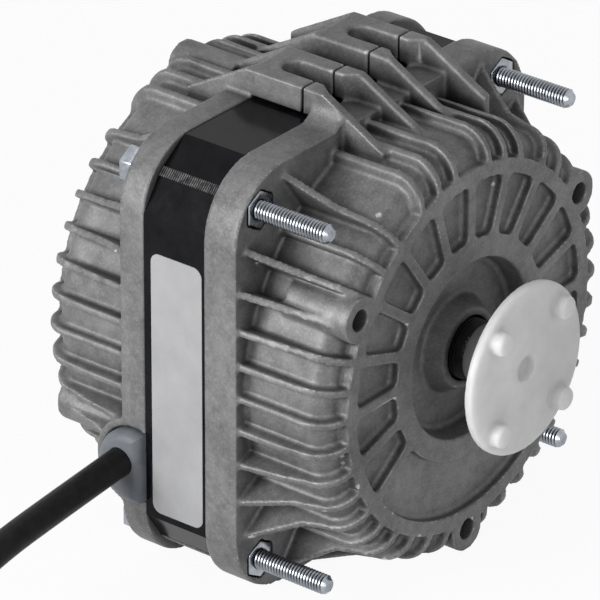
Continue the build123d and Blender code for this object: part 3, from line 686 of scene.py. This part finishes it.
def threadedRod(frontY, rearY):  # one closed skin: a zigzag wound along the rod, cut flat at both ends
    pitch = stud["pitch"]
    depth = stud["crest"] - stud["root"]
    startY = frontY - stud["lead"] * pitch
    dropSelection()
    bpy.ops.mesh.primitive_circle_add(vertices=4, radius=pitch / 2, fill_type="NOTHING")
    rod = bpy.context.object
    for corner in rod.data.vertices:
        corner.co = (stud["root"] + corner.co.x * 2 * depth / pitch, startY + corner.co.y, 0)
    pick(rod, "VERT", lambda corner: corner.co.x < stud["root"] - depth / 2)
    bpy.ops.mesh.delete(type="VERT")
    bpy.ops.object.mode_set(mode="OBJECT")
    turns = math.ceil((rearY - frontY) / pitch) + stud["spareTurns"]
    applyModifier(rod, "SCREW", axis="Y", screw_offset=pitch, iterations=turns,
                  steps=stud["steps"], render_steps=stud["steps"])
    bpy.ops.object.mode_set(mode="EDIT")
    bpy.ops.mesh.select_all(action="SELECT")
    bpy.ops.mesh.remove_doubles(threshold=mergeDistance["own"])
    cutEnd(frontY, True)
    cutEnd(rearY, False)
    faceOutwards()
    for vertex in rod.data.vertices:  # the points of the rod, where the thread runs out
        fromEnd = min(vertex.co.y - frontY, rearY - vertex.co.y)
        reach = math.hypot(vertex.co.x, vertex.co.z)
        allowed = stud["crest"] - stud["point"] + max(fromEnd, 0)
        shrink = min(1, allowed / reach)
        vertex.co = (vertex.co.x * shrink, vertex.co.y, vertex.co.z * shrink)
    smoothBelow(stud["smoothBelow"])
    return rod


def addStuds():
    low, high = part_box("tie_studs")
    rod = threadedRod(low[1], high[1])
    rod.data.materials.append(materials["zinc"])
    for number, (sideX, sideZ) in enumerate(cornerSides):
        piece = copyOf(rod, "cornerStud" + str(number + 1))
        piece.data.transform(Matrix.Translation((sideX * stud["corner"], 0, sideZ * stud["corner"])))
        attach(piece, "stator")
        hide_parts("tie_studs")
    bpy.data.objects.remove(rod)


addStuds()
print("studs threaded")


# Nuts: the CAD hexagons with their corners turned down

nut = {
    "edge": 0.00028,
    "edgeSteps": 2,
    "edgeAbove": 40,
    "smoothBelow": 30,
}


def softNuts(nodeName, name):
    piece = weldedCopy(nodeName, name)
    applyModifier(piece, "BEVEL", width=nut["edge"], segments=nut["edgeSteps"], limit_method="ANGLE",
                  angle_limit=math.radians(nut["edgeAbove"]))
    smoothBelow(nut["smoothBelow"])
    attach(piece, "stator")
    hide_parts(nodeName)


softNuts("front_nuts", "flushNuts")
softNuts("rear_nuts", "proudNuts")
print("nuts made")


# Sheet edges: bare ridges of the stack's sheets on the narrow flat of each corner

sheetEdge = {
    "pitch": 0.00049,
    "share": 0.62,
    "width": 0.0021,
    "height": 0.00040,
    "proud": 0.00016,
    "edge": 0.00009,
    "corner": 0.0396,
}


def ridgeStrip(fromY, toY):
    pitch, height = sheetEdge["pitch"], sheetEdge["height"]
    dropSelection()
    bpy.ops.mesh.primitive_cube_add(size=1, location=(0, fromY + pitch / 2, sheetEdge["proud"] - height / 2),
                                    scale=(sheetEdge["width"], pitch * sheetEdge["share"], height))
    strip = bpy.context.object
    bpy.ops.object.transform_apply()
    applyModifier(strip, "BEVEL", width=sheetEdge["edge"], segments=1)
    applyModifier(strip, "ARRAY", count=int((toY - fromY) / pitch), use_relative_offset=False,
                  use_constant_offset=True, constant_offset_displace=(0, pitch, 0))
    strip.data.materials.append(materials["sheets"])
    return strip


def addSheetEdges():
    fromY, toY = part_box("stator_core")[0][1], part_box("stator_core")[1][1]
    strip = ridgeStrip(fromY, toY)
    for number, (sideX, sideZ) in enumerate(cornerSides):
        piece = copyOf(strip, "sheetEdges" + str(number + 1))
        corner = Vector((sideX * sheetEdge["corner"], 0, sideZ * sheetEdge["corner"]))
        turn = Matrix.Rotation(math.atan2(sideX, sideZ), 4, "Y")
        piece.data.transform(Matrix.Translation(corner) @ turn)
        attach(piece, "stator")
    bpy.data.objects.remove(strip)


addSheetEdges()
print("sheet edges laid")


# Seal: a rubber slinger with fine ribs round it

seal = {
    "bore": 0.00302,
    "ribs": 6,
    "groove": 0.00022,
    "crestFrom": 0.3,
    "crestTo": 0.7,
    "lip": 0.00035,
    "sides": 72,
    "smoothBelow": 30,
}


def sealProfile():  # radius and place along the shaft, from the bore at the rear round to it again
    low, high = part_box("shaft_seal")
    outer, rearY, frontY = high[0], high[1], low[1]
    lip, groove = seal["lip"], outer - seal["groove"]
    step = (rearY - frontY) / seal["ribs"]
    profile = [(seal["bore"], rearY)]
    for rib in range(seal["ribs"]):
        start = rearY - rib * step
        profile += [(groove, start), (outer, start - seal["crestFrom"] * step),
                    (outer, start - seal["crestTo"] * step), (groove, start - step)]
    return profile + [(outer - 2 * lip, frontY), (outer - 3 * lip, frontY + lip),
                      (seal["bore"], frontY + lip), (seal["bore"], rearY)]


def addSeal():
    profile = sealProfile()
    dropSelection()
    radius, place = profile[0]
    bpy.ops.mesh.primitive_circle_add(vertices=seal["sides"], radius=radius, location=(0, place, 0),
                                      rotation=(math.pi / 2, 0, 0))
    piece = bpy.context.object
    piece.name = "ribbedSeal"
    bpy.ops.object.transform_apply()
    bpy.ops.object.mode_set(mode="EDIT")
    for nextRadius, nextPlace in profile[1:]:
        bpy.ops.mesh.extrude_edges_move(TRANSFORM_OT_translate={"value": (0, nextPlace - place, 0)})
        grow = nextRadius / radius
        bpy.ops.transform.resize(value=(grow, 1, grow), center_override=(0, nextPlace, 0))
        radius, place = nextRadius, nextPlace
    bpy.ops.mesh.select_all(action="SELECT")
    bpy.ops.mesh.remove_doubles(threshold=mergeDistance["own"])
    faceOutwards()
    smoothBelow(seal["smoothBelow"])
    piece.data.materials.append(materials["rubber"])
    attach(piece, "rotor")
    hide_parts("shaft_seal")


addSeal()
print("seal made")


# Studio: white surroundings, a pale floor and soft lights

studio = {
    "white": (1, 1, 1, 1),
    "surround": (0.96, 0.98, 1, 1),
    "surroundStrength": 0.22,
    "floorSize": 6,
    "floorHeight": -0.0452,
    "paper": (0.7, 0.7, 0.7, 1),
    "paperGlow": 0.94,
}

lights = {
    "leftLight": {"place": (-1.25, 0.40, 0.40), "size": 0.7, "power": 26},
    "frontLight": {"place": (-0.5, -1.3, 0.25), "size": 0.5, "power": 7.5},
    "topLight": {"place": (-0.1, 0.3, 1.5), "size": 0.9, "power": 2.5},
}


def whiteRays(tree):  # what the camera, metal and glass see; everything else gets the plain light
    lightPath = addNode(tree, "ShaderNodeLightPath").outputs
    mirrored = calculate(tree, "MAXIMUM", lightPath["Is Glossy Ray"], lightPath["Is Transmission Ray"])
    return calculate(tree, "MAXIMUM", lightPath["Is Camera Ray"], mirrored)


def mixShaders(tree, amount, first, second):
    inputs = {"Fac": amount, 1: first.outputs[0], 2: second.outputs[0]}
    return addNode(tree, "ShaderNodeMixShader", inputs)


def addWorld():
    world = scene.world or bpy.data.worlds.new("studio")
    scene.world = world
    world.use_nodes = True
    tree = world.node_tree
    tree.nodes.clear()
    seen = addNode(tree, "ShaderNodeBackground", {"Color": studio["white"], "Strength": 1.0})
    around = addNode(tree, "ShaderNodeBackground",
                     {"Color": studio["surround"], "Strength": studio["surroundStrength"]})
    mix = mixShaders(tree, whiteRays(tree), around, seen)
    addNode(tree, "ShaderNodeOutputWorld", {"Surface": mix.outputs[0]})


def addFloor():
    bpy.ops.mesh.primitive_plane_add(size=studio["floorSize"], location=(0, 0, studio["floorHeight"]))
    floor = bpy.context.object
    floor.name = "studioFloor"
    material, tree, shader = newMaterial("studioPaper")
    tree.nodes.remove(shader)
    output = next(node for node in tree.nodes if node.type == "OUTPUT_MATERIAL")
    paper = addNode(tree, "ShaderNodeBsdfDiffuse", {"Color": studio["paper"]})
    glow = addNode(tree, "ShaderNodeEmission", {"Color": studio["white"], "Strength": 1.0})
    whiter = mixShaders(tree, studio["paperGlow"], paper, glow)
    mix = mixShaders(tree, whiteRays(tree), paper, whiter)
    tree.links.new(mix.outputs[0], output.inputs["Surface"])
    floor.data.materials.append(material)


def addLights():
    for name, values in lights.items():
        place = Vector(values["place"])
        turn = place.to_track_quat("Z", "Y").to_euler()
        bpy.ops.object.light_add(type="AREA", location=place, rotation=turn)
        lamp = bpy.context.object
        lamp.name = name
        lamp.data.size = values["size"]
        lamp.data.energy = values["power"]


addWorld()
addFloor()
addLights()
print("studio set")
